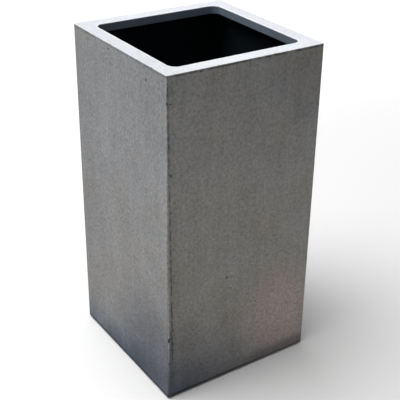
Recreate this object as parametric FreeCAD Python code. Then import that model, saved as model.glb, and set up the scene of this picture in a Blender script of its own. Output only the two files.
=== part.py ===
"""Tall square planter: a concrete-look face moulded over a glass-fibre shell, with a bonded floor.

Millimetres, +Z up. The origin is the centre of the footprint, on the ground.
"""
import FreeCAD, Part
import os

# ---------------------------------------------------------------- driving dimensions
WIDTH = 400.0             # across the flat faces, both ways
HEIGHT = 800.0            # ground to the top of the rim
RIM_WIDTH = 35.0          # flat top of the rim, from the outer face to the opening
LIP_DEPTH = 20.0          # rim top to the lower edge of the turned-down lip
LIP_THICKNESS = 5.0
OPENING_CORNER_R = 20.0
ARRIS_R = 3.5             # the four upright outer edges
RIM_EDGE_R = 1.5          # outer top edge and the edge of the opening
BOTTOM_EDGE_R = 1.5       # outer bottom edge
COAT_THICKNESS = 2.0      # mineral-filled face
LAMINATE_THICKNESS = 4.0  # glass-fibre shell behind it
INSIDE_CORNER_R = 12.0    # upright inside corners of the shell
COVE_R = 6.0              # inside curve under the rim, where the glass mat turns
LIP_EDGE_R = 1.0          # lower inner edge of the lip

BASE_THICKNESS = 8.0
BASE_FIT_GAP = 1.0        # round the floor panel, filled by the bond
BEAD_R = 12.0             # hollow curve of the bonding bead
BEAD_FEATHER = 0.6        # thickness of the bead where it runs out

DRAIN_HOLE_D = 25.0
PLUG_CLEARANCE = 0.05     # radial, plug stem in the drain hole
PLUG_HEAD_D = 38.0
PLUG_HEAD_THICKNESS = 4.0
PLUG_TAIL = 2.0           # the stem stands this far out under the floor
PLUG_TAIL_CHAMFER = 1.2
PLUG_EDGE_R = 1.0
TAB_WIDTH = 18.0
TAB_THICKNESS = 4.0
TAB_HEIGHT = 16.0         # above the plug's head
TAB_EYE_D = 7.0
TAB_EDGE_R = 0.8

FOOT_HEIGHT = 5.0
FOOT_D = 36.0
FOOT_INSET = 28.0         # outer face to the near edge of a foot
FOOT_EDGE_CHAMFER = 0.8

# ---------------------------------------------------------------- derived sizes
HALF = WIDTH / 2
BODY_BOTTOM = FOOT_HEIGHT
LAMINATE_HALF = HALF - COAT_THICKNESS
LAMINATE_TOP = HEIGHT - COAT_THICKNESS
INSIDE_HALF = LAMINATE_HALF - LAMINATE_THICKNESS
FLANGE_UNDERSIDE = LAMINATE_TOP - LAMINATE_THICKNESS
OPENING_HALF = HALF - RIM_WIDTH
LIP_BOTTOM = HEIGHT - LIP_DEPTH
FLOOR_TOP = BODY_BOTTOM + BASE_THICKNESS
BASE_HALF = INSIDE_HALF - BASE_FIT_GAP
OVERRUN = 1.0             # how far a cutting solid runs past the face it opens


def rounded_block(half, corner_r, z_low, z_high):
    """Square block centred on the upright axis, with rounded upright corners."""
    block = Part.makeBox(2 * half, 2 * half, z_high - z_low, FreeCAD.Vector(-half, -half, z_low))
    if corner_r <= 0:
        return block
    return block.makeFillet(corner_r, upright_edges(block))


def upright_edges(shape):
    """Straight edges that run parallel to Z."""
    found = []
    for edge in shape.Edges:
        low = edge.Vertexes[0].Point
        high = edge.Vertexes[-1].Point
        if abs(low.x - high.x) + abs(low.y - high.y) < 1e-6:
            found.append(edge)
    return found


def level_edges(shape, z, within=None):
    """Edges that lie flat at height z, and inside a square of half width `within` if one is given."""
    found = []
    for edge in shape.Edges:
        box = edge.BoundBox
        at_height = abs(box.ZMin - z) < 1e-6 and abs(box.ZMax - z) < 1e-6
        inside = within is None or max(abs(box.XMin), abs(box.XMax), abs(box.YMin), abs(box.YMax)) < within
        if at_height and inside:
            found.append(edge)
    return found


def opening_block(z_low, z_high):
    """The space of the opening, inside the lip."""
    return rounded_block(OPENING_HALF, OPENING_CORNER_R, z_low, z_high)


def face_coat():
    """Outer skin of the walls and of the rim's top, with softened edges."""
    outer = rounded_block(HALF, ARRIS_R, BODY_BOTTOM, HEIGHT)
    outer = outer.makeFillet(RIM_EDGE_R, level_edges(outer, HEIGHT))
    outer = outer.makeFillet(BOTTOM_EDGE_R, level_edges(outer, BODY_BOTTOM))
    core = rounded_block(LAMINATE_HALF, ARRIS_R - COAT_THICKNESS, BODY_BOTTOM - OVERRUN, LAMINATE_TOP)
    skin = outer.cut(core).cut(opening_block(FLANGE_UNDERSIDE, HEIGHT + OVERRUN))
    return skin.makeFillet(RIM_EDGE_R, level_edges(skin, HEIGHT, within=OPENING_HALF + OVERRUN))


def shell_laminate():
    """Walls, flange under the rim and turned-down lip, in one lay-up."""
    outer = rounded_block(LAMINATE_HALF, ARRIS_R - COAT_THICKNESS, BODY_BOTTOM, LAMINATE_TOP)
    room = rounded_block(INSIDE_HALF, INSIDE_CORNER_R, BODY_BOTTOM - OVERRUN, LIP_BOTTOM)
    channel = rounded_block(INSIDE_HALF, INSIDE_CORNER_R, LIP_BOTTOM - OVERRUN, FLANGE_UNDERSIDE)
    lip_outer_r = OPENING_CORNER_R + LIP_THICKNESS
    lip = rounded_block(OPENING_HALF + LIP_THICKNESS, lip_outer_r, LIP_BOTTOM, LAMINATE_TOP)
    channel = channel.cut(lip)
    channel = channel.makeFillet(COVE_R, level_edges(channel, FLANGE_UNDERSIDE))
    shell = outer.cut(room).cut(channel).cut(opening_block(LIP_BOTTOM - OVERRUN, HEIGHT))
    lower_edge = level_edges(shell, LIP_BOTTOM, within=OPENING_HALF + OVERRUN)
    return shell.makeFillet(LIP_EDGE_R, lower_edge)


def base_panel():
    """Flat floor between the walls, flush with their lower ends, with the drain hole."""
    panel = rounded_block(BASE_HALF, INSIDE_CORNER_R - BASE_FIT_GAP, BODY_BOTTOM, FLOOR_TOP)
    hole_start = FreeCAD.Vector(0, 0, BODY_BOTTOM - OVERRUN)
    hole = Part.makeCylinder(DRAIN_HOLE_D / 2, BASE_THICKNESS + 2 * OVERRUN, hole_start)
    return panel.cut(hole)


def base_bond():
    """Paste in the gap round the floor, run out in a hollow bead on the floor and up the walls."""
    bead_top = FLOOR_TOP + BEAD_FEATHER + BEAD_R
    paste = rounded_block(INSIDE_HALF, INSIDE_CORNER_R, BODY_BOTTOM, bead_top)
    panel_space = rounded_block(BASE_HALF, INSIDE_CORNER_R - BASE_FIT_GAP, BODY_BOTTOM - OVERRUN, FLOOR_TOP)
    hollow_half = INSIDE_HALF - BEAD_FEATHER
    hollow_r = max(INSIDE_CORNER_R - BEAD_FEATHER, BEAD_R + OVERRUN)
    hollow = rounded_block(hollow_half, hollow_r, FLOOR_TOP + BEAD_FEATHER, bead_top + BEAD_R)
    hollow = hollow.makeFillet(BEAD_R, level_edges(hollow, FLOOR_TOP + BEAD_FEATHER))
    clear_floor = rounded_block(hollow_half - BEAD_R, OVERRUN, FLOOR_TOP - OVERRUN, bead_top)
    return paste.cut(panel_space).cut(hollow).cut(clear_floor)


def drain_plug():
    """Rubber bung: stem in the hole, head on the floor, and a tab with an eye to pull it by."""
    stem_r = DRAIN_HOLE_D / 2 - PLUG_CLEARANCE
    stem_bottom = BODY_BOTTOM - PLUG_TAIL
    head_top = FLOOR_TOP + PLUG_HEAD_THICKNESS
    stem = Part.makeCylinder(stem_r, head_top - stem_bottom, FreeCAD.Vector(0, 0, stem_bottom))
    stem = stem.makeChamfer(PLUG_TAIL_CHAMFER, level_edges(stem, stem_bottom))
    head = Part.makeCylinder(PLUG_HEAD_D / 2, PLUG_HEAD_THICKNESS, FreeCAD.Vector(0, 0, FLOOR_TOP))
    head = head.makeFillet(PLUG_EDGE_R, level_edges(head, head_top))
    return stem.fuse(head).fuse(pull_tab(head_top)).removeSplitter()


def pull_tab(z_low):
    """Upright tab with a round top, standing on the plug's head."""
    arc_centre = z_low + TAB_HEIGHT - TAB_WIDTH / 2
    foot_low = z_low - PLUG_HEAD_THICKNESS / 2
    corner = FreeCAD.Vector(-TAB_WIDTH / 2, -TAB_THICKNESS / 2, foot_low)
    stalk = Part.makeBox(TAB_WIDTH, TAB_THICKNESS, arc_centre - foot_low, corner)
    centre = FreeCAD.Vector(0, -TAB_THICKNESS / 2, arc_centre)
    across = FreeCAD.Vector(0, 1, 0)
    tab = stalk.fuse(Part.makeCylinder(TAB_WIDTH / 2, TAB_THICKNESS, centre, across)).removeSplitter()
    eye_start = centre - across * OVERRUN
    tab = tab.cut(Part.makeCylinder(TAB_EYE_D / 2, TAB_THICKNESS + 2 * OVERRUN, eye_start, across))
    rims = [edge for edge in tab.Edges if edge.BoundBox.ZMax > z_low and edge.BoundBox.YLength < 1e-6]
    return tab.makeFillet(TAB_EDGE_R, rims)


def foot_pad(side_x, side_y):
    """Round rubber pad under one corner of the floor."""
    reach = HALF - FOOT_INSET - FOOT_D / 2
    pad = Part.makeCylinder(FOOT_D / 2, FOOT_HEIGHT, FreeCAD.Vector(side_x * reach, side_y * reach, 0))
    return pad.makeChamfer(FOOT_EDGE_CHAMFER, level_edges(pad, 0))


def save(node, shape):
    """Write one sub-part, and print its size as a check."""
    solids = len(shape.Solids)
    print(f"{node}: {solids} solid, {shape.Volume / 1000:.1f} cm3, valid {shape.isValid()}")
    shape.exportStep(os.path.join("parts", node + ".step"))


os.makedirs("parts", exist_ok=True)
save("face_coat", face_coat())
save("shell_laminate", shell_laminate())
save("base_panel", base_panel())
save("base_bond", base_bond())
save("drain_plug", drain_plug())
for y_name, y_sign in (("front", -1), ("back", 1)):
    for x_name, x_sign in (("left", -1), ("right", 1)):
        save(f"foot_pad_{y_name}_{x_name}", foot_pad(x_sign, y_sign))
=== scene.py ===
"""Looks of a tall square planter with a concrete-look face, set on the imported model.

Metres, in the model's own frame: +Z up, the origin on the ground under the middle of the planter.
The -Y side is the right one in the photograph and the -X side the left one.
"""
import math

import bmesh
import bpy
from mathutils import Matrix, Vector, noise
from mathutils.bvhtree import BVHTree


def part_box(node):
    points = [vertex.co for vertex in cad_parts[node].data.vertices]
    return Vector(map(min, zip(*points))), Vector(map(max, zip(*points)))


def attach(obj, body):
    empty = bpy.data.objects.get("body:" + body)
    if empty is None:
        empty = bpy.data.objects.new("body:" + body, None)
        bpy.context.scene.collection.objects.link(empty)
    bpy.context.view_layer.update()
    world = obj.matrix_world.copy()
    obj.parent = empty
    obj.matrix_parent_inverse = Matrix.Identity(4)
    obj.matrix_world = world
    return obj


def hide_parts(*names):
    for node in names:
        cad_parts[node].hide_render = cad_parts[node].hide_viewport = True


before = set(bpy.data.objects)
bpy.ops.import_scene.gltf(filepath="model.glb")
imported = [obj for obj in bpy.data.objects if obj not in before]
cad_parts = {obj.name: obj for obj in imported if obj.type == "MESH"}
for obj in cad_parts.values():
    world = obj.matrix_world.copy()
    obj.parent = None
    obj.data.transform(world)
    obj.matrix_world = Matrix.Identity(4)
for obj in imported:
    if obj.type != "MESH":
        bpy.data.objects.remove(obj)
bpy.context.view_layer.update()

# ---------------------------------------------------------------- sizes read from the frame
FACE_LOW, FACE_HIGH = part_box("face_coat")
CORE_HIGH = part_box("shell_laminate")[1]
BOND_LOW, BOND_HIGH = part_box("base_bond")
PLUG_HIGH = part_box("drain_plug")[1]
FLOOR_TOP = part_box("base_panel")[1].z
HALF = FACE_HIGH.x                     # middle to the outer face
RIM_TOP = FACE_HIGH.z
WALL_FOOT = FACE_LOW.z
COAT = HALF - CORE_HIGH.x              # thickness of the concrete-look face
PLUG_R = PLUG_HIGH.x                   # radius of the plug's head

# ---------------------------------------------------------------- the photograph's camera
CAMERA_AT = Vector((-1.0458, -1.5893, 1.3967))
CAMERA_YAW = math.radians(-35.54)
CAMERA_PITCH = math.radians(27.38)
CAMERA_ROLL = math.radians(1.60)
SENSOR_MM = 36.0
FOCAL_PX = 889.5
FRAME_PX = 400.0
MIDDLE_PX = (225.0, 190.0)             # where the optical axis meets the picture

# ---------------------------------------------------------------- finishes, as linear colours
CEMENT_WARM = (0.186, 0.177, 0.160)
CEMENT_COOL = (0.172, 0.176, 0.182)
# Painted top light: the rim is the walls' cement, painted paler and bluer for the light from above.
RIM_LIT_GREY = (0.335, 0.345, 0.366)
# Chips and pits: dark for dirt and as painted shade in the hollows.
PIT_DIRT_AND_SHADE = (0.055, 0.055, 0.054)
SEAM_DIRT = (0.050, 0.050, 0.049)
PALE_ARRIS_GREY = (0.25, 0.25, 0.245)
# Tint of the darker, bluer foot.
FOOT_DARK_TINT = (0.44, 0.47, 0.57)
# Tint of the darker, bluer lowest stretch of wall.
LOW_BLUE_TINT = (0.50, 0.58, 0.71)
WARM_TINT = (1.43, 1.23, 1.24)
LIP_SLATE = (0.078, 0.098, 0.122)
# Black coat inside, painted far darker than paint as the shade of the deep inside.
INSIDE_BLACK_AND_SHADE = (0.002, 0.0045, 0.006)
PASTE_GREY = (0.05, 0.05, 0.052)
RUBBER_BLACK = (0.018, 0.018, 0.019)
STUDIO_PALE = (0.5, 0.5, 0.5)
STUDIO_FAR = (0.9, 0.9, 0.9)
BACKDROP = (0.43, 0.43, 0.43)

# ---------------------------------------------------------------- patterns in the face
GRAIN_SIZE = 0.0065
FINE_FLECK_SIZE = 0.0035
COARSE_FLECK_SIZE = 0.010
MOTTLE_SIZE = 0.075
STREAK_SIZE = (0.016, 0.016, 0.35)     # upright streaks: across them, and along them
HUE_CLOUD_SIZE = 0.08
SKY_TINT_RISE = (0.30, 0.65)                # heights between which the cement is painted cooler, as painted sky light from above

# ---------------------------------------------------------------- stains, painted shade and darker and paler stretches, as places and heights from and to
PATCH_SWAY = 0.12                      # how far the mottling moves the edges of the large stains, darker patches and painted shade
FOOT_DARK_TOP = (0.02, 0.34)                # heights of the darker blue foot at the front corner: full, and gone
FOOT_DARK_ALONG_X = (-HALF, 0.25)
FOOT_DARK_ALONG_Y = (-0.12, 0.22)
FOOT_DARK_FALL = (0.25, 0.29)               # how much lower it is at the far ends of the two front sides
FOOT_DARK_STEP = 0.035                      # and how much lower just round the corner, on the -Y side
FOOT_DARK_STEP_WIDTH = 0.03
LOW_BLUE_SWAY = 0.05
LOW_BLUE_TOP = 0.110                     # the lowest stretch of wall, darker and bluer
LOW_BLUE_ALONG_X = (-HALF, -0.04)
LOW_BLUE_ALONG_Y = (-0.18, -0.02)
WARM_AT = (0.14, -HALF, 0.12)          # middle of the warm stain
WARM_REACH = (0.02, 0.19)
# Painted shade along the foot of the walls, where the gap under them lies in shadow.
FOOT_SHADE_LINE = (WALL_FOOT + 0.003, WALL_FOOT + 0.010)
WIDE_FOOT_SHADE_LINE = (0.018, 0.050)
WIDE_FOOT_SHADE_ALONG_X = (-0.02, 0.08)
# Painted shade: darker upper part, top corner of the -Y side and two upright edges.
UPPER_SHADE = (0.50, RIM_TOP)
TOP_CORNER = (HALF, -HALF, RIM_TOP)    # the top corner with the most painted shade
TOP_CORNER_REACH = 0.52
EDGE_SHADE_X = (-HALF, -0.06)
EDGE_SHADE_Y = (-0.02, HALF)
EDGE_SHADE_LOW = (0.12, 0.30)
EDGE_SHADE_HIGH = (0.60, 0.74)
PALE_ARRIS_HIGH = (0.30, RIM_TOP)
PALE_ARRIS_LOW = ((0.03, 0.17), (0.27, 0.36))  # where the paler arris starts, and where it ends

# ---------------------------------------------------------------- the mould seam and its dirt
SEAM_INSET = (0.0140, 0.0026)          # mould seam, from the corner: at the foot and at the rim
SEAM_START = 0.01                      # it starts this far above the foot
SEAM_DROP = 0.0034                     # mould seam, below the rim
SEAM_END_X = 0.085                     # and it can be felt up to here
SEAM_PATCH_SIZE = 0.02
SEAM_CRUMB_SIZE = 0.007
SEAM_DARK = (0.0006, 0.0036)           # distances from the upright seam
SEAM_GRIME_REACH = 0.022
SEAM_STRIP_LOW = (0.13, 0.30)          # heights where the strip between corner and seam stops being darker
SEAM_STRIP_EDGES = (0.002, 0.003, 0.005)  # past the seam, and from the corner
SEAM_CORNER = (-HALF, -HALF, RIM_TOP - 0.03)
SEAM_CORNER_REACH = 0.085
LEVEL_DARK = (0.0008, 0.0040)          # distances from the level seam
ARRIS_DARK = (0.0004, 0.0030)          # distances from the +X side

# ---------------------------------------------------------------- wear cut into the face
GRID = 0.025                           # the face is cut up this fine, so a hole in one square leaves the rest
ARRIS_STAND_OFF = 0.0004               # chips along an arris are centred this far outside it, each way
RIM_STAND_OFF = 0.0002
CORNER_MARGIN = 0.004                  # the lines of chips end this far short of the corners
VOID_MARGIN = (0.008, 0.01)            # no voids this close to an upright or a level edge
VOIDS_PER_M2 = 130.0
VOID_R = (0.0003, 0.0015)
PIT_UNEVEN = 0.35                      # how far a pit's outline strays from a ball's
PIT_LUMPS = 1.6
BROKEN_DEPTHS = (0.00008, 0.0006)      # from here on the chips and pits are painted dark, for dirt and shade, and fully
SHARP_DEGREES = 28.0                   # edges sharper than this aren't smoothed
FLAT_SHARE = 0.998                     # faces this square to an axis aren't either

# ---------------------------------------------------------------- the rim and the lip
RIM_SKIN = (RIM_TOP - 0.0009, RIM_TOP - 0.0002)
OPENING_PALE = (0.003, 0.006)          # distances outwards from the opening where the walls' grey starts
OPENING_HIGHLIGHT = (0.0015, 0.0060)      # and where its painted brighter edge ends
LIP_BLEND = 0.0004

# ---------------------------------------------------------------- inside
DUST_GREY = (0.022, 0.022, 0.021)
BLOOM_GREY = (0.05, 0.05, 0.05)
STRAND_SIZE = 0.004
RIPPLE_GRID = 0.006                    # the bead of paste is cut up this fine
RIPPLE_SIZE = 0.012
RIPPLE_HEIGHT = 0.0007
RIPPLE_START = 0.0002                  # the ripples start this far above the floor
BEAD_SHARP_DEGREES = 35.0
RING_SHARES = (0.64, 0.84)             # raised rings on the plug's head, as shares of its radius
RING_R = 0.0006
RING_STEPS = 72
PARTING_R = 0.00025                    # parting line round the plug's tab
PARTING_STEPS = 36

# ---------------------------------------------------------------- studio
FLOOR_REACH = 30.0
FLOOR_PALER = (2.5, 7.0)               # distances between which the floor gets paler
OVERHEAD_AT = (-1.3, 0.8, 4.4)
OVERHEAD_SIZE = 3.5
OVERHEAD_WATTS = 410.0
WASH_OUT = 3.4                         # the four lamps that light the floor: how far out, and how high
WASH_HIGH = 4.0
WASH_SIZE = 3.0
WASH_WATTS = 130.0
WASH_SPREAD = 85.0



class NodeSheet:
    """A node tree, with short calls that add nodes and feed their sockets."""

    def __init__(self, tree):
        self.tree = tree

    def node(self, kind, **inputs):
        """A node with its inputs set or linked by name."""
        made = self.tree.nodes.new(kind)
        for key, value in inputs.items():
            self.feed(made.inputs[key.replace("_", " ")], value)
        return made

    def feed(self, socket, value):
        """Links a socket to another, or sets its constant."""
        if isinstance(value, bpy.types.NodeSocket):
            self.tree.links.new(value, socket)
        elif isinstance(value, tuple) and socket.type == "RGBA":
            socket.default_value = (*value, 1.0)
        else:
            socket.default_value = value

    def math(self, operation, *values):
        """A math node on one to three numbers."""
        made = self.tree.nodes.new("ShaderNodeMath")
        made.operation = operation
        for socket, value in zip(made.inputs, values):
            self.feed(socket, value)
        return made.outputs[0]

    def vector(self, operation, first, second=None, scale=None):
        """A vector math node on one or two vectors or colours, or on one and a number."""
        made = self.tree.nodes.new("ShaderNodeVectorMath")
        made.operation = operation
        self.feed(made.inputs[0], first)
        if second is not None:
            self.feed(made.inputs[1], second)
        if scale is not None:
            self.feed(made.inputs["Scale"], scale)
        return made.outputs["Value" if operation == "DISTANCE" else "Vector"]


class Finish(NodeSheet):
    """Node tree of one material, with short calls for what the finishes share."""

    def __init__(self, name):
        self.material = bpy.data.materials.new(name)
        self.material.use_nodes = True
        super().__init__(self.material.node_tree)
        self.tree.nodes.clear()
        self.place = self.node("ShaderNodeTexCoord").outputs["Object"]

    def axes(self):
        """The three coordinates of a place on the piece."""
        return self.node("ShaderNodeSeparateXYZ", Vector=self.place).outputs

    def distance(self, point):
        """Distance of a place on the piece from a point."""
        return self.vector("DISTANCE", self.place, point)

    def ramp(self, value, low, high, to_low=0.0, to_high=1.0):
        """Smooth step of a value between two edges."""
        made = self.tree.nodes.new("ShaderNodeMapRange")
        made.interpolation_type = "SMOOTHSTEP"
        for key, number in (("Value", value), ("From Min", low), ("From Max", high),
                            ("To Min", to_low), ("To Max", to_high)):
            self.feed(made.inputs[key], number)
        return made.outputs["Result"]

    def fall(self, value, low, high, top=1.0):
        """Smooth step from `top` down to nothing between two edges."""
        return self.ramp(value, low, high, top, 0.0)

    def noise(self, size, detail=3.0, roughness=0.5):
        """Cloud pattern from 0 to 1, whose patches are about `size` across, or a size for each axis."""
        sizes = size if isinstance(size, tuple) else (size, size, size)
        scale = tuple(1 / across for across in sizes)
        where = self.node("ShaderNodeMapping", Vector=self.place, Scale=scale).outputs[0]
        made = self.node("ShaderNodeTexNoise", Vector=where, Scale=1.0, Detail=detail, Roughness=roughness)
        return made.outputs[0]

    def uneven(self, value, pattern, amount):
        """A number moved up and down by a pattern, by `amount` in all."""
        return self.math("MULTIPLY_ADD", self.math("SUBTRACT", pattern, 0.5), amount, value)

    def between(self, share, first, second):
        """Number between two numbers."""
        return self.math("MULTIPLY_ADD", share, self.math("SUBTRACT", second, first), first)

    def mix(self, share, first, second):
        """Colour between two colours."""
        made = self.tree.nodes.new("ShaderNodeMix")
        made.data_type = "RGBA"
        self.feed(made.inputs["Factor"], share)
        self.feed(made.inputs[6], first)
        self.feed(made.inputs[7], second)
        return made.outputs[2]

    def shade(self, colour, amount):
        """Colour times a number."""
        return self.vector("SCALE", colour, scale=amount)

    def tint(self, colour, by):
        """Colour times a colour."""
        return self.vector("MULTIPLY", colour, by)

    def bump(self, height, depth, below=None):
        """Relief of a height pattern, `depth` metres from low to high."""
        made = self.node("ShaderNodeBump", Height=height, Strength=1.0, Distance=depth)
        if below is not None:
            self.feed(made.inputs["Normal"], below)
        return made.outputs[0]

    def close(self, **inputs):
        """The shader and the output. Plain numbers are set on the shader's own sockets."""
        shader = self.node("ShaderNodeBsdfPrincipled", **inputs)
        self.node("ShaderNodeOutputMaterial", Surface=shader.outputs[0])
        return self.material


def cast_tone(f, grain, mottle):
    """Light and dark of the casting: grain, dark flecks, soft mottling and upright streaks."""
    fine = f.ramp(f.noise(FINE_FLECK_SIZE, detail=3.0, roughness=0.7), 0.55, 0.75, 1.0, 0.75)
    coarse = f.ramp(f.noise(COARSE_FLECK_SIZE, detail=5.0, roughness=0.75), 0.52, 0.72, 1.0, 0.78)
    tone = f.uneven(1.09, grain, 1.6)
    tone = f.uneven(tone, mottle, 0.36)
    tone = f.uneven(tone, f.noise(STREAK_SIZE), 0.26)
    return f.math("MULTIPLY", tone, f.math("MULTIPLY", fine, coarse))


def foot_dark_share(f, x, y, z, mottle):
    """How far up the foot is darker and bluer: highest at the front corner, and lower along both sides from
    it.
    """
    along_x = f.ramp(x, *FOOT_DARK_ALONG_X, 0.0, FOOT_DARK_FALL[0])
    along_x = f.math("ADD", along_x, f.ramp(x, -HALF, FOOT_DARK_STEP_WIDTH - HALF, 0.0, FOOT_DARK_STEP))
    along_y = f.ramp(y, *FOOT_DARK_ALONG_Y, 0.0, FOOT_DARK_FALL[1])
    height = f.math("ADD", z, f.math("MAXIMUM", along_x, along_y))
    return f.fall(f.uneven(height, mottle, PATCH_SWAY), *FOOT_DARK_TOP)


def low_blue_share(f, x, y, z, x_side, mottle):
    """Darker blue on the lowest stretch of wall, unevenly along it."""
    along_x = f.fall(x, *LOW_BLUE_ALONG_X, top=0.85)
    along_y = f.ramp(y, *LOW_BLUE_ALONG_Y, 0.30, 0.85)
    low = f.fall(f.uneven(z, mottle, LOW_BLUE_SWAY), WALL_FOOT, LOW_BLUE_TOP)
    return f.math("MULTIPLY", f.between(x_side, along_x, along_y), low)


def foot_shade_share(f, x, z, x_side):
    """Painted shade along the foot of the walls: a dark line, wider to the right on the -Y side."""
    line = f.fall(z, *FOOT_SHADE_LINE, top=0.65)
    wide = f.math("MULTIPLY", f.fall(z, *WIDE_FOOT_SHADE_LINE, top=0.42), f.ramp(x, *WIDE_FOOT_SHADE_ALONG_X))
    wide = f.math("MULTIPLY", wide, f.math("SUBTRACT", 1.0, x_side))
    return f.math("MAXIMUM", line, wide)


def upright_seam_share(f, x, z, patches):
    """Dirt along the upright seam: the line, and crumbs beside it and in the top corner. Low down, the strip
    between the corner and the line is darker."""
    slant = (SEAM_INSET[1] - SEAM_INSET[0]) / RIM_TOP
    line_at = f.math("MULTIPLY_ADD", z, slant, SEAM_INSET[0])
    from_corner = f.math("ADD", x, HALF)
    past_line = f.math("SUBTRACT", from_corner, line_at)
    from_line = f.math("ABSOLUTE", past_line)
    line = f.math("MULTIPLY", f.fall(from_line, *SEAM_DARK), patches)
    beside = f.fall(from_line, 0.0, SEAM_GRIME_REACH, top=0.34)
    top_corner = f.fall(f.distance(SEAM_CORNER), 0.0, SEAM_CORNER_REACH, top=0.45)
    crumbs = f.ramp(f.noise(SEAM_CRUMB_SIZE, detail=4.0, roughness=0.7), 0.35, 0.6)
    crumbs = f.math("MULTIPLY", f.math("MAXIMUM", beside, top_corner), crumbs)
    past, near, clear = SEAM_STRIP_EDGES
    strip = f.math("MULTIPLY", f.fall(past_line, 0.0, past, top=0.4), f.fall(z, *SEAM_STRIP_LOW))
    strip = f.math("MULTIPLY", strip, f.ramp(from_corner, near, clear))
    return f.math("MAXIMUM", line, f.math("MAXIMUM", crumbs, strip))


def seam_share(f, x, y, z, grain):
    """Dirt in the mould seam: on the two Y sides, upright beside one corner and on the other's arris,
    and level under the rim all round."""
    across = f.math("ABSOLUTE", y)
    patches = f.ramp(f.noise(SEAM_PATCH_SIZE, detail=4.0, roughness=0.65), 0.38, 0.58, 0.2, 0.95)
    on_y_side = f.ramp(across, HALF - 0.0010, HALF - 0.0004)
    upright = f.math("MULTIPLY", upright_seam_share(f, x, z, patches), on_y_side)
    from_level = f.math("ABSOLUTE", f.math("SUBTRACT", RIM_TOP - SEAM_DROP, z))
    level = f.math("MULTIPLY", f.fall(from_level, *LEVEL_DARK), patches)
    level = f.math("MULTIPLY", level, f.ramp(across, HALF - 0.003, HALF - 0.001, 0.5, 1.0))
    arris = f.fall(f.math("SUBTRACT", HALF, x), *ARRIS_DARK, top=0.6)
    arris = f.math("MULTIPLY", arris, f.ramp(across, HALF - 0.0035, HALF - 0.0015))
    share = f.math("MAXIMUM", f.math("MAXIMUM", upright, arris), level)
    return f.math("MULTIPLY", share, f.ramp(grain, 0.25, 0.6, 0.6, 1.0))


def upper_shade_share(f, x, y, z, x_side, mottle):
    """Painted shade on the upper part, most of all the top corner of the -Y side, and along two upright
    edges.
    """
    upper = f.ramp(z, *UPPER_SHADE, 0.0, 0.12)
    from_corner = f.uneven(f.distance(TOP_CORNER), mottle, PATCH_SWAY)
    upper = f.math("ADD", upper, f.fall(from_corner, 0.0, TOP_CORNER_REACH, top=0.205))
    along_x = f.fall(x, *EDGE_SHADE_X, top=0.05)
    along_y = f.ramp(y, *EDGE_SHADE_Y, 0.0, 0.08)
    edges = f.math("MULTIPLY", f.between(x_side, along_x, along_y), f.ramp(z, *EDGE_SHADE_LOW))
    return f.math("ADD", upper, f.math("MULTIPLY", edges, f.ramp(z, *EDGE_SHADE_HIGH, 1.0, 0.3)))


def pale_arris_share(f, x, y, z, grain):
    """Paler cement along the corners: above on their X sides, and below on the arris itself."""
    from_x = f.math("SUBTRACT", HALF, f.math("ABSOLUTE", x))
    from_y = f.math("SUBTRACT", HALF, f.math("ABSOLUTE", y))
    on_x_side = f.fall(from_x, 0.0004, 0.0016)
    near = f.math("MULTIPLY", on_x_side, f.fall(from_y, 0.0022, 0.0060))
    near = f.math("MULTIPLY", near, f.ramp(z, *PALE_ARRIS_HIGH, 0.0, 0.8))
    near = f.math("MULTIPLY", near, f.ramp(grain, 0.3, 0.6, 0.25, 1.0))
    arris = f.math("MULTIPLY", f.fall(from_x, 0.0032, 0.0052), f.math("SUBTRACT", 1.0, on_x_side))
    starts, ends = PALE_ARRIS_LOW
    low = f.math("MULTIPLY", f.ramp(z, *starts, 0.0, 0.95), f.fall(z, *ends))
    return f.math("MAXIMUM", near, f.math("MULTIPLY", arris, low))


def from_opening(f, x, y):
    """Distance outwards from the edge of the opening, whose corners are round."""
    start = OPENING - OPENING_CORNER_R
    side_x = f.math("MAXIMUM", f.math("SUBTRACT", f.math("ABSOLUTE", x), start), 0.0)
    side_y = f.math("MAXIMUM", f.math("SUBTRACT", f.math("ABSOLUTE", y), start), 0.0)
    squares = f.math("MULTIPLY_ADD", side_x, side_x, f.math("MULTIPLY", side_y, side_y))
    return f.math("SUBTRACT", f.math("SQRT", squares), OPENING_CORNER_R)


def rim_tone_and_painted_light(f, x, y, tone, outwards):
    """Light and dark of the pale rim, whose paleness is painted light: softer than the walls', brighter along
    the opening and to the left.
    """
    soft = f.math("MULTIPLY_ADD", f.math("SUBTRACT", tone, 1.0), 0.45, 1.0)
    soft = f.math("MULTIPLY", soft, f.ramp(outwards, *OPENING_HIGHLIGHT, 1.2, 1.0))
    soft = f.math("MULTIPLY", soft, f.ramp(x, -HALF, 0.0, 0.93, 1.02))
    return f.math("MULTIPLY", soft, f.ramp(y, -HALF, -0.1, 1.06, 1.0))


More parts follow.
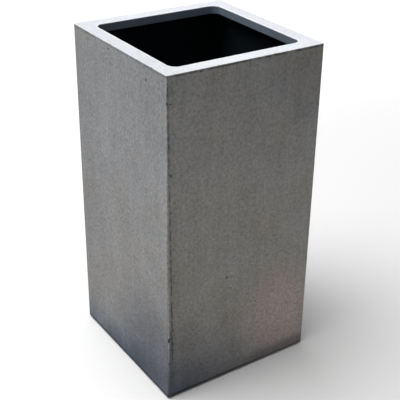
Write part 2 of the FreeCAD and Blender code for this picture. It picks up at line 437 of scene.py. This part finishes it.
def wall_colour(f, x, y, z, grain, mottle, tone):
    """Cast grey with painted cool light, a darker blue foot, a warm stain, dirt in the seam, painted shade,
    paler corners.
    """
    x_side = f.ramp(f.math("ABSOLUTE", x), HALF - 0.003, HALF - 0.001)
    cloud = f.ramp(f.noise(HUE_CLOUD_SIZE, detail=4.0), 0.3, 0.7, 0.0, 0.4)
    # Painted light: the cement is cooler higher up and on the X sides, where the bluish light falls.
    hue = f.math("ADD", f.ramp(z, *SKY_TINT_RISE, 0.0, 0.3), cloud)
    hue = f.math("MULTIPLY_ADD", x_side, 0.45, hue)
    colour = f.mix(hue, CEMENT_WARM, CEMENT_COOL)
    warm = f.fall(f.uneven(f.distance(WARM_AT), mottle, PATCH_SWAY), *WARM_REACH)
    colour = f.mix(warm, colour, f.tint(colour, WARM_TINT))
    # Darker and bluer towards the foot, highest at the front corner.
    colour = f.mix(foot_dark_share(f, x, y, z, mottle), colour, f.tint(colour, FOOT_DARK_TINT))
    # Darker and bluer on the lowest stretch of wall.
    low_blue = low_blue_share(f, x, y, z, x_side, mottle)
    colour = f.mix(low_blue, colour, f.tint(colour, LOW_BLUE_TINT))
    # Paler along the corners.
    colour = f.mix(pale_arris_share(f, x, y, z, grain), colour, PALE_ARRIS_GREY)
    colour = f.mix(seam_share(f, x, y, z, grain), colour, SEAM_DIRT)
    # Painted shade: the upper part, the top corner, two upright edges and the foot of the walls.
    painted_shade = f.math("ADD", upper_shade_share(f, x, y, z, x_side, mottle), foot_shade_share(f, x, z, x_side))
    return f.shade(colour, f.math("MULTIPLY", tone, f.math("SUBTRACT", 1.0, painted_shade)))


def concrete_face():
    """Cast grey walls, a rim painted paler as top light, and chips and pits painted dark for dirt and painted
    shade.
    """
    f = Finish("concrete_face")
    x, y, z = f.axes()
    grain = f.noise(GRAIN_SIZE, detail=5.0, roughness=0.7)
    mottle = f.noise(MOTTLE_SIZE, detail=5.0, roughness=0.55)
    tone = cast_tone(f, grain, mottle)
    colour = wall_colour(f, x, y, z, grain, mottle, tone)

    # The rim: the walls' cement painted paler and bluer as painted light from above, brightest along the
    # opening.
    outwards = from_opening(f, x, y)
    rim = f.math("MAXIMUM", f.ramp(z, *RIM_SKIN), f.fall(outwards, *OPENING_PALE))
    colour = f.mix(rim, colour, f.shade(RIM_LIT_GREY, rim_tone_and_painted_light(f, x, y, tone, outwards)))

    # Chips and pits painted dark: partly dirt, partly painted shade in the hollows.
    depth = f.node("ShaderNodeAttribute")
    depth.attribute_name = "broken"
    broken = f.ramp(depth.outputs["Fac"], *BROKEN_DEPTHS)
    colour = f.mix(broken, colour, f.shade(f.mix(grain, PIT_DIRT_AND_SHADE, SEAM_DIRT), tone))

    relief = f.bump(grain, 0.0014, below=f.bump(mottle, 0.003))
    roughness = f.ramp(grain, 0.2, 0.8, 0.8, 0.97)
    return f.close(Base_Color=colour, Roughness=roughness, Normal=relief, Specular_IOR_Level=0.2)


def dark_laminate():
    """Slate paint on the lip; below it black coat, painted darker as shade, over the print of glass strands.
    """
    f = Finish("dark_laminate")
    z = f.axes()[2]
    lip = f.ramp(z, LIP_FOOT - LIP_BLEND, LIP_FOOT + LIP_BLEND)
    strands = f.noise(STRAND_SIZE, detail=4.0, roughness=0.6)
    tone = f.math("MULTIPLY_ADD", f.noise(0.05), 0.4, 0.8)
    # Below the lip the black coat is painted near black, as the shade inside.
    colour = f.shade(f.mix(lip, INSIDE_BLACK_AND_SHADE, LIP_SLATE), f.uneven(tone, strands, 0.3))
    relief = f.bump(strands, 0.0006)
    roughness = f.ramp(strands, 0.2, 0.8, 0.65, 0.9)
    return f.close(Base_Color=colour, Roughness=roughness, Normal=relief, Specular_IOR_Level=0.08)


def floor_laminate():
    """Black coat on the floor, painted darker as shade, with the dust that settles there."""
    f = Finish("floor_laminate")
    dust = f.ramp(f.noise(0.04, detail=5.0, roughness=0.6), 0.4, 0.7)
    relief = f.bump(f.noise(STRAND_SIZE), 0.0005)
    # The floor's black coat is painted near black, as the shade inside.
    colour = f.mix(dust, INSIDE_BLACK_AND_SHADE, DUST_GREY)
    return f.close(Base_Color=colour, Roughness=f.ramp(dust, 0.0, 1.0, 0.6, 0.9), Normal=relief)


def bonding_paste():
    """Dark resin paste, smoothed with a finger."""
    f = Finish("bonding_paste")
    drag = f.noise(0.02, detail=4.0)
    # The paste's darkest patches take the inside's painted shade.
    colour = f.shade(f.mix(drag, PASTE_GREY, INSIDE_BLACK_AND_SHADE), f.math("MULTIPLY_ADD", drag, 0.4, 0.8))
    return f.close(Base_Color=colour, Roughness=f.ramp(drag, 0.3, 0.7, 0.4, 0.6), Normal=f.bump(drag, 0.002))


def rubber(name):
    """Moulded black rubber with a dusty bloom."""
    f = Finish(name)
    bloom = f.noise(0.008, detail=4.0)
    colour = f.shade(f.mix(bloom, RUBBER_BLACK, BLOOM_GREY), f.math("MULTIPLY_ADD", bloom, 0.5, 0.75))
    relief = f.bump(f.noise(0.0012, detail=2.0), 0.0001)
    return f.close(Base_Color=colour, Roughness=f.ramp(bloom, 0.3, 0.7, 0.55, 0.8), Normal=relief)


def studio_floor():
    """Pale floor, palest far off, where the lamps light it least."""
    f = Finish("studio_floor")
    far = f.ramp(f.distance((0.0, 0.0, 0.0)), *FLOOR_PALER)
    return f.close(Base_Color=f.mix(far, STUDIO_PALE, STUDIO_FAR), Roughness=0.9)


def dress(node, material):
    """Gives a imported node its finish."""
    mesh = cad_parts[node].data
    mesh.materials.clear()
    mesh.materials.append(material)


# ---------------------------------------------------------------- Geometry Nodes
RANDOM_SOCKETS = {"FLOAT_VECTOR": (0, 1, 0), "FLOAT": (2, 3, 1), "BOOLEAN": (6, 6, 3)}


class Grower(NodeSheet):
    """A Geometry Nodes tree with named sizes, run on a mesh to give a plain mesh."""

    def __init__(self, name, sizes):
        super().__init__(bpy.data.node_groups.new(name, "GeometryNodeTree"))
        self.tree.interface.new_socket("Geometry", in_out="INPUT", socket_type="NodeSocketGeometry")
        self.tree.interface.new_socket("Geometry", in_out="OUTPUT", socket_type="NodeSocketGeometry")
        self.sockets = {}
        for label, kind in sizes.items():
            made = self.tree.interface.new_socket(label, in_out="INPUT", socket_type="NodeSocket" + kind)
            self.sockets[label] = made.identifier
        self.start = self.tree.nodes.new("NodeGroupInput").outputs
        self.end = self.tree.nodes.new("NodeGroupOutput").inputs[0]

    def random(self, kind, low, high, seed):
        """A random number, vector or choice for each point. A choice has its chance as `low`."""
        made = self.tree.nodes.new("FunctionNodeRandomValue")
        made.data_type = kind
        low_at, high_at, out_at = RANDOM_SOCKETS[kind]
        self.feed(made.inputs[low_at], low)
        if high_at != low_at:
            self.feed(made.inputs[high_at], high)
        self.feed(made.inputs["Seed"], seed)
        return made.outputs[out_at]

    def stone(self, roughness):
        """A lump of unit radius with an uneven surface."""
        ball = self.node("GeometryNodeMeshIcoSphere", Radius=1.0, Subdivisions=2).outputs[0]
        place = self.node("GeometryNodeInputPosition").outputs[0]
        lumps = self.node("ShaderNodeTexNoise", Vector=place, Scale=1.7, Detail=2.0).outputs[0]
        push = self.math("MULTIPLY", self.math("SUBTRACT", lumps, 0.6), roughness)
        offset = self.vector("SCALE", place, scale=push)
        return self.node("GeometryNodeSetPosition", Geometry=ball, Offset=offset).outputs[0]

    def finish(self, geometry, material):
        """Makes the copies real, gives them their material and ends the tree."""
        real = self.node("GeometryNodeRealizeInstances", Geometry=geometry).outputs[0]
        done = self.node("GeometryNodeSetMaterial", Geometry=real, Material=material).outputs[0]
        self.tree.links.new(done, self.end)
        return self

    def run(self, mesh, **sizes):
        """The tree's result on a mesh, as a plain mesh."""
        carrier = in_scene(self.tree.name, mesh)
        modifier = carrier.modifiers.new("grow", "NODES")
        modifier.node_group = self.tree
        for label, value in sizes.items():
            modifier[self.sockets[label.replace("_", " ")]] = value
        return plain_mesh(carrier)


def in_scene(name, data):
    """A new object in the scene, with a mesh, curve, camera or lamp as its data."""
    made = bpy.data.objects.new(name, data)
    bpy.context.scene.collection.objects.link(made)
    return made


def plain_mesh(carrier):
    """An object's evaluated mesh. The object and its modifiers go."""
    graph = bpy.context.evaluated_depsgraph_get()
    mesh = bpy.data.meshes.new_from_object(carrier.evaluated_get(graph))
    bpy.data.objects.remove(carrier)
    return mesh


def mesh_of(name, bm, material=None):
    """A mesh of what a bmesh holds, with its finish. The bmesh goes."""
    mesh = bpy.data.meshes.new(name)
    bm.to_mesh(mesh)
    bm.free()
    if material is not None:
        mesh.materials.append(material)
    return mesh


def chips_along_lines(material):
    """Tree that sets lumps along the edges of a mesh, longer along the edge than across it."""
    g = Grower("chips_along_lines", {
        "Spacing": "Float", "Share": "Float", "Wander": "Float", "Thin": "Float", "Thick": "Float",
        "Stretch": "Float", "Seed": "Int"})
    start = g.start
    curve = g.node("GeometryNodeMeshToCurve", Mesh=start["Geometry"]).outputs[0]
    points = g.tree.nodes.new("GeometryNodeCurveToPoints")
    points.mode = "LENGTH"
    g.feed(points.inputs["Curve"], curve)
    g.feed(points.inputs["Length"], start["Spacing"])
    reach = g.vector("SCALE", (1.0, 1.0, 1.0), scale=start["Wander"])
    back = g.vector("SCALE", reach, scale=-1.0)
    wander = g.random("FLOAT_VECTOR", back, reach, start["Seed"])
    placed = g.node("GeometryNodeSetPosition", Geometry=points.outputs["Points"], Offset=wander).outputs[0]
    kept = g.random("BOOLEAN", start["Share"], None, g.math("ADD", start["Seed"], 1))
    chance = g.random("FLOAT", 0.0, 1.0, g.math("ADD", start["Seed"], 2))
    span = g.math("SUBTRACT", start["Thick"], start["Thin"])
    width = g.math("MULTIPLY_ADD", g.math("POWER", chance, 2.0), span, start["Thin"])
    length = g.math("MULTIPLY", width, start["Stretch"])
    size = g.node("ShaderNodeCombineXYZ", X=width, Y=width, Z=length).outputs[0]
    spin = g.random("FLOAT", 0.0, 2 * math.pi, g.math("ADD", start["Seed"], 3))
    turn = g.node("FunctionNodeAxisAngleToRotation", Axis=(0.0, 0.0, 1.0), Angle=spin).outputs[0]
    facing = g.tree.nodes.new("FunctionNodeRotateRotation")
    facing.rotation_space = "LOCAL"
    g.feed(facing.inputs[0], points.outputs["Rotation"])
    g.feed(facing.inputs[1], turn)
    lumps = g.node("GeometryNodeInstanceOnPoints", Points=placed, Instance=g.stone(0.9), Selection=kept,
                   Rotation=facing.outputs[0], Scale=size).outputs[0]
    return g.finish(lumps, material)


def voids_on_faces(material):
    """Tree that sets small balls at random on a mesh's faces, most of them near the small size."""
    g = Grower("voids_on_faces", {"Density": "Float", "Small": "Float", "Large": "Float", "Seed": "Int"})
    start = g.start
    spread = g.node("GeometryNodeDistributePointsOnFaces", Mesh=start["Geometry"], Density=start["Density"],
                    Seed=start["Seed"])
    chance = g.random("FLOAT", 0.0, 1.0, g.math("ADD", start["Seed"], 1))
    span = g.math("SUBTRACT", start["Large"], start["Small"])
    radius = g.math("MULTIPLY_ADD", g.math("POWER", chance, 3.0), span, start["Small"])
    turned = g.random("FLOAT_VECTOR", (0.0, 0.0, 0.0), (6.0, 6.0, 6.0), g.math("ADD", start["Seed"], 2))
    balls = g.node("GeometryNodeInstanceOnPoints", Points=spread.outputs["Points"], Instance=g.stone(0.35),
                   Rotation=turned, Scale=radius).outputs[0]
    return g.finish(balls, material)


# ---------------------------------------------------------------- the face, with its wear
def line_mesh(name, lines):
    """Mesh of loose edges along the given lines of points."""
    corners = []
    edges = []
    for line in lines:
        first = len(corners)
        corners.extend(line)
        edges.extend((at, at + 1) for at in range(first, first + len(line) - 1))
    mesh = bpy.data.meshes.new(name)
    mesh.from_pydata(corners, edges, [])
    return mesh


def arris_lines():
    """The four upright corners, a little outside them."""
    out = HALF + ARRIS_STAND_OFF
    lines = []
    for x_side, y_side in ((-1, -1), (1, -1), (1, 1), (-1, 1)):
        ends = (WALL_FOOT + CORNER_MARGIN, RIM_TOP - CORNER_MARGIN)
        lines.append([(x_side * out, y_side * out, z) for z in ends])
    return lines


def ring_lines(half, z):
    """The four sides of a level square."""
    inner = half - CORNER_MARGIN
    lines = []
    for side in (-1, 1):
        lines.append([(-inner, side * half, z), (inner, side * half, z)])
        lines.append([(side * half, -inner, z), (side * half, inner, z)])
    return lines


def seam_lines():
    """The mould seam on the two Y sides: up beside one corner and along under the rim."""
    low_x = HALF - SEAM_INSET[0]
    high_x = HALF - SEAM_INSET[1]
    top = RIM_TOP - SEAM_DROP
    lines = []
    for y in (-HALF, HALF):
        lines.append([(-low_x, y, WALL_FOOT + SEAM_START), (-high_x, y, top)])
        lines.append([(-high_x, y, top), (SEAM_END_X, y, top)])
    return lines


# The hairline crack on the -Y side: places along it, as x and z.
CRACK = ((-0.071, 0.5615), (-0.063, 0.5565), (-0.056, 0.5545), (-0.047, 0.5475), (-0.040, 0.5445))


def void_sheet():
    """The flat outer surfaces that air voids open in."""
    side = HALF - VOID_MARGIN[0]
    low = WALL_FOOT + VOID_MARGIN[1]
    high = RIM_TOP - VOID_MARGIN[1]
    corners = []
    faces = []
    for turn in range(4):
        matrix = Matrix.Rotation(turn * math.pi / 2, 3, "Z")
        first = len(corners)
        for x, z in ((-side, low), (side, low), (side, high), (-side, high)):
            corners.append(matrix @ Vector((x, -HALF, z)))
        faces.append(range(first, first + 4))
    mesh = bpy.data.meshes.new("void_sheet")
    mesh.from_pydata(corners, [], faces)
    return mesh


# Pits that the photograph shows: place, then half width, half depth and half height, in millimetres.
PITS = (
    ((-41.0, -200.0, 284.0), (3.0, 1.7, 3.1)),
    ((-28.5, -200.0, 251.0), (1.5, 1.2, 1.6)),
    ((44.5, -200.0, 187.5), (1.4, 1.1, 2.2)),
    ((-191.0, -200.0, 739.5), (2.4, 1.7, 2.0)),
    ((-189.5, -200.0, 582.0), (2.6, 1.7, 3.4)),
    ((-190.5, -200.0, 495.0), (1.7, 1.4, 2.1)),
    ((-187.5, -200.0, 192.0), (2.2, 1.6, 4.5)),
    ((-191.5, -200.0, 183.0), (1.5, 1.3, 5.0)),
    ((-197.0, -200.0, 168.0), (2.4, 2.0, 6.5)),
    ((-191.5, -200.0, 171.0), (1.6, 1.4, 5.5)),
    ((-189.0, -200.0, 160.0), (2.0, 1.5, 5.5)),
    ((-186.5, -200.0, 154.0), (2.6, 1.5, 3.2)),
    ((-190.0, -200.0, 140.0), (2.4, 1.1, 4.0)),
    ((-195.0, -200.0, 102.0), (2.2, 1.4, 4.0)),
    ((-199.5, -199.5, 741.0), (2.4, 2.3, 3.6)),
    ((-200.0, 38.0, 787.0), (1.9, 3.2, 2.6)),
    ((-200.0, -121.0, 767.0), (1.9, 2.9, 2.5)),
    ((199.5, -200.0, 555.0), (3.2, 1.9, 4.0)),
    ((-120.0, -200.0, 794.5), (5.0, 0.9, 1.3)),
    ((51.0, -200.0, 795.0), (3.5, 1.1, 1.4)),
)


def add_pits(bm):
    """The pits of the photograph, as lumps with uneven outlines."""
    for place, half_sizes in PITS:
        centre = Vector(place) / 1000
        ball = bmesh.ops.create_icosphere(bm, subdivisions=3, radius=1.0)
        for vertex in ball["verts"]:
            uneven = 1.0 + PIT_UNEVEN * noise.noise(vertex.co * PIT_LUMPS + centre * 1000)
            vertex.co = centre + vertex.co * uneven * Vector(half_sizes) / 1000


def wear_cutters(material):
    """Everything that is cut from the face, in one mesh."""
    chips = chips_along_lines(material)
    voids = voids_on_faces(material)
    arrises = line_mesh("arrises", arris_lines())
    rim_edges = line_mesh("rim_edges", ring_lines(HALF + RIM_STAND_OFF, RIM_TOP + RIM_STAND_OFF))
    foot_edges = line_mesh("foot_edges", ring_lines(HALF + RIM_STAND_OFF, WALL_FOOT - RIM_STAND_OFF))
    seam = line_mesh("seam", seam_lines())
    crack = line_mesh("crack", [[(x, -HALF, z) for x, z in CRACK]])
    parts = (
        chips.run(arrises, Spacing=0.0095, Share=0.75, Wander=0.0003, Thin=0.0019, Thick=0.0031, Stretch=1.9,
                  Seed=11),
        chips.run(rim_edges, Spacing=0.013, Share=0.45, Wander=0.0002, Thin=0.0009, Thick=0.0018, Stretch=2.2,
                  Seed=23),
        chips.run(foot_edges, Spacing=0.012, Share=0.55, Wander=0.0003, Thin=0.0009, Thick=0.0022,
                  Stretch=2.0, Seed=37),
        chips.run(seam, Spacing=0.0075, Share=0.75, Wander=0.0008, Thin=0.0005, Thick=0.0013, Stretch=4.0,
                  Seed=41),
        chips.run(crack, Spacing=0.0017, Share=0.85, Wander=0.0003, Thin=0.0003, Thick=0.0006, Stretch=2.5,
                  Seed=53),
        voids.run(void_sheet(), Density=VOIDS_PER_M2, Small=VOID_R[0], Large=VOID_R[1], Seed=61),
    )
    bm = bmesh.new()
    for part in parts:
        bm.from_mesh(part)
    add_pits(bm)
    return mesh_of("wear_cutters", bm)


def packed_copy(node):
    """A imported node's surface as a closed bmesh, with its flat faces whole."""
    bm = bmesh.new()
    bm.from_mesh(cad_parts[node].data)
    bmesh.ops.remove_doubles(bm, verts=bm.verts, dist=1e-6)
    bmesh.ops.dissolve_limit(bm, angle_limit=0.001, verts=bm.verts, edges=bm.edges)
    return bm


def cut_in_grid(bm, step, low, high):
    """Cuts the faces between two corners of a box up along planes that are `step` apart."""
    for axis in range(3):
        normal = Vector((0, 0, 0))
        normal[axis] = 1
        for at in range(math.ceil(low[axis] / step), math.floor(high[axis] / step) + 1):
            everything = bm.verts[:] + bm.edges[:] + bm.faces[:]
            place = normal * (at * step)
            bmesh.ops.bisect_plane(bm, geom=everything, dist=1e-7, plane_co=place, plane_no=normal)


def outer_surface(bm):
    """Search tree of the faces that show, without those that lie against the laminate."""
    def shows(vertex):
        across = max(abs(vertex.co.x), abs(vertex.co.y))
        return across > HALF - COAT + 1e-5 or vertex.co.z > RIM_TOP - COAT + 1e-5

    bm.verts.index_update()
    outside = [face for face in bm.faces if any(shows(vertex) for vertex in face.verts)]
    corners = [vertex.co.copy() for vertex in bm.verts]
    return BVHTree.FromPolygons(corners, [[vertex.index for vertex in face.verts] for face in outside])


def mark_broken(mesh, tree):
    """Stores how deep each point lies under the sound surface."""
    depths = mesh.attributes.new("broken", "FLOAT", "POINT")
    for vertex, depth in zip(mesh.vertices, depths.data):
        depth.value = tree.find_nearest(vertex.co)[3]


def without_crumbs(mesh):
    """Leaves only the largest connected piece of a mesh, without the crumbs that a cut sets loose."""
    bm = bmesh.new()
    bm.from_mesh(mesh)
    waiting = set(bm.verts)
    pieces = []
    while waiting:
        piece = set()
        border = {waiting.pop()}
        while border:
            piece |= border
            border = {edge.other_vert(vertex) for vertex in border for edge in vertex.link_edges} - piece
        waiting -= piece
        pieces.append(piece)
    largest = max(pieces, key=len)
    bmesh.ops.delete(bm, geom=[vertex for vertex in bm.verts if vertex not in largest], context="VERTS")
    bm.to_mesh(mesh)
    bm.free()


def concrete_skin(material):
    """The concrete-look face, with its chips, pits, mould seam, air voids and crack cut into it."""
    bm = packed_copy("face_coat")
    sound = outer_surface(bm)
    cut_in_grid(bm, GRID, FACE_LOW, FACE_HIGH)
    block = in_scene("concrete_skin", mesh_of("concrete_skin", bm, material))
    cutter = in_scene("wear_cutters", wear_cutters(material))
    cut = block.modifiers.new("wear", "BOOLEAN")
    cut.operation = "DIFFERENCE"
    cut.solver = "EXACT"
    cut.use_self = True
    cut.object = cutter
    worn = plain_mesh(block)
    bpy.data.objects.remove(cutter)
    without_crumbs(worn)
    mark_broken(worn, sound)
    worn.set_sharp_from_angle(angle=math.radians(SHARP_DEGREES))
    for face in worn.polygons:
        face.use_smooth = max(abs(share) for share in face.normal) < FLAT_SHARE
    skin = in_scene("concrete_skin", worn)
    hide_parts("face_coat")
    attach(skin, "planter")


# ---------------------------------------------------------------- the bead of paste and the plug
def tooled_bond(material):
    """The bead round the floor, with the ripples left by the finger that smoothed it."""
    bm = packed_copy("base_bond")
    cut_in_grid(bm, RIPPLE_GRID, BOND_LOW, BOND_HIGH)
    bm.normal_update()
    for vertex in bm.verts:
        faces_room = vertex.normal.xy.dot(vertex.co.xy) < 0
        if faces_room and vertex.co.z > FLOOR_TOP + RIPPLE_START:
            height = 0.5 + noise.noise(vertex.co / RIPPLE_SIZE)
            vertex.co += vertex.normal * RIPPLE_HEIGHT * height
    bmesh.ops.triangulate(bm, faces=bm.faces)
    mesh = mesh_of("tooled_bond", bm, material)
    mesh.set_sharp_from_angle(angle=math.radians(BEAD_SHARP_DEGREES))
    bead = in_scene("tooled_bond", mesh)
    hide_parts("base_bond")
    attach(bead, "planter")


def moulded_line(bm, places, closed, radius):
    """Adds a round bead along a line of places."""
    curve = bpy.data.curves.new("moulded_line", "CURVE")
    curve.dimensions = "3D"
    curve.bevel_depth = radius
    curve.bevel_resolution = 2
    curve.use_fill_caps = True
    spline = curve.splines.new("POLY")
    spline.points.add(len(places) - 1)
    for point, place in zip(spline.points, places):
        point.co = (*place, 1.0)
    spline.use_cyclic_u = closed
    bm.from_mesh(plain_mesh(in_scene("moulded_line", curve)))


def arc(radius, centre, first, last, steps, level):
    """Places along an arc, on the level or upright in the XZ plane."""
    places = []
    for at in range(steps + 1):
        angle = first + (last - first) * at / steps
        across = radius * math.cos(angle)
        other = radius * math.sin(angle)
        places.append((across, other, centre) if level else (across, 0.0, centre + other))
    return places


def plug_lines(material):
    """What the mould leaves on the plug: two raised rings on the head and a parting line round the tab."""
    corners = [vertex.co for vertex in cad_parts["drain_plug"].data.vertices]
    head_top = max(corner.z for corner in corners if math.hypot(corner.x, corner.y) > 0.9 * PLUG_R)
    tab_half = max(abs(corner.x) for corner in corners if corner.z > head_top + 0.002)
    tab_centre = PLUG_HIGH.z - tab_half
    bm = bmesh.new()
    for share in RING_SHARES:
        ring = arc(share * PLUG_R, head_top, 0.0, 2 * math.pi, RING_STEPS, level=True)
        moulded_line(bm, ring[:-1], True, RING_R)
    outline = arc(tab_half, tab_centre, 0.0, math.pi, PARTING_STEPS, level=False)
    foot = head_top - RING_R
    outline = [(tab_half, 0.0, foot)] + outline + [(-tab_half, 0.0, foot)]
    moulded_line(bm, outline, False, PARTING_R)
    bmesh.ops.remove_doubles(bm, verts=bm.verts, dist=1e-6)
    mesh = mesh_of("plug_lines", bm, material)
    for face in mesh.polygons:
        face.use_smooth = True
    lines = in_scene("plug_lines", mesh)
    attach(lines, "plug")


# ---------------------------------------------------------------- studio
def add_camera():
    """Camera at the photograph's viewpoint."""
    data = bpy.data.cameras.new("photo_camera")
    data.sensor_width = SENSOR_MM
    data.lens = FOCAL_PX * SENSOR_MM / FRAME_PX
    data.shift_x = (FRAME_PX / 2 - MIDDLE_PX[0]) / FRAME_PX
    data.shift_y = (MIDDLE_PX[1] - FRAME_PX / 2) / FRAME_PX
    camera = in_scene("photo_camera", data)
    turn = Matrix.Rotation(CAMERA_YAW, 4, "Z")
    tip = Matrix.Rotation(math.pi / 2 - CAMERA_PITCH, 4, "X")
    roll = Matrix.Rotation(CAMERA_ROLL, 4, "Z")
    camera.matrix_world = Matrix.Translation(CAMERA_AT) @ turn @ tip @ roll
    bpy.context.scene.camera = camera


def area_light(name, place, aim, size, watts, spread=180.0):
    """Soft square lamp at a place, turned to an aim, whose light opens by `spread` degrees."""
    data = bpy.data.lights.new(name, "AREA")
    data.shape = "SQUARE"
    data.size = size
    data.energy = watts
    data.spread = math.radians(spread)
    lamp = in_scene(name, data)
    lamp.location = place
    lamp.rotation_euler = (Vector(aim) - Vector(place)).to_track_quat("-Z", "Y").to_euler()


def add_studio():
    """Pale floor, pale surroundings and soft lamps."""
    mesh = bpy.data.meshes.new("studio_floor")
    corners = [(x * FLOOR_REACH, y * FLOOR_REACH, 0) for x, y in ((-1, -1), (1, -1), (1, 1), (-1, 1))]
    mesh.from_pydata(corners, [], [(0, 1, 2, 3)])
    mesh.materials.append(studio_floor())
    floor = in_scene("studio_floor", mesh)
    world = bpy.data.worlds.new("studio")
    world.use_nodes = True
    world.node_tree.nodes["Background"].inputs["Color"].default_value = (*BACKDROP, 1.0)
    bpy.context.scene.world = world
    bpy.context.scene.view_settings.view_transform = "Standard"
    area_light("overhead", OVERHEAD_AT, (0, 0, 0), OVERHEAD_SIZE, OVERHEAD_WATTS)
    for x_side in (-1, 1):
        for y_side in (-1, 1):
            over = Vector((WASH_OUT * x_side, WASH_OUT * y_side, WASH_HIGH))
            area_light("floor_wash", over, (over.x, over.y, 0), WASH_SIZE, WASH_WATTS, WASH_SPREAD)


def opening_size():
    """Half the width of the opening and the radius of its corners, read where a straight side ends."""
    corners = [vertex.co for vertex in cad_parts["shell_laminate"].data.vertices]
    on_top = [corner for corner in corners if corner.z > RIM_TOP - 1.5 * COAT]
    end = min(on_top, key=lambda corner: abs(corner.x))
    return abs(end.y), abs(end.y) - abs(end.x)


def lip_foot():
    """Height of the lip's lower edge: the lowest place where a straight side of the opening ends."""
    corners = [vertex.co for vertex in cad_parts["shell_laminate"].data.vertices]
    straight_end = OPENING - OPENING_CORNER_R
    return min(corner.z for corner in corners if abs(abs(corner.x) - straight_end) < 0.0005)


OPENING, OPENING_CORNER_R = opening_size()
LIP_FOOT = lip_foot()
add_camera()
add_studio()
concrete_skin(concrete_face())
dress("shell_laminate", dark_laminate())
dress("base_panel", floor_laminate())
tooled_bond(bonding_paste())
plug_rubber = rubber("plug_rubber")
dress("drain_plug", plug_rubber)
plug_lines(plug_rubber)
foot_rubber = rubber("foot_rubber")
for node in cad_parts:
    if node.startswith("foot_pad"):
        dress(node, foot_rubber)
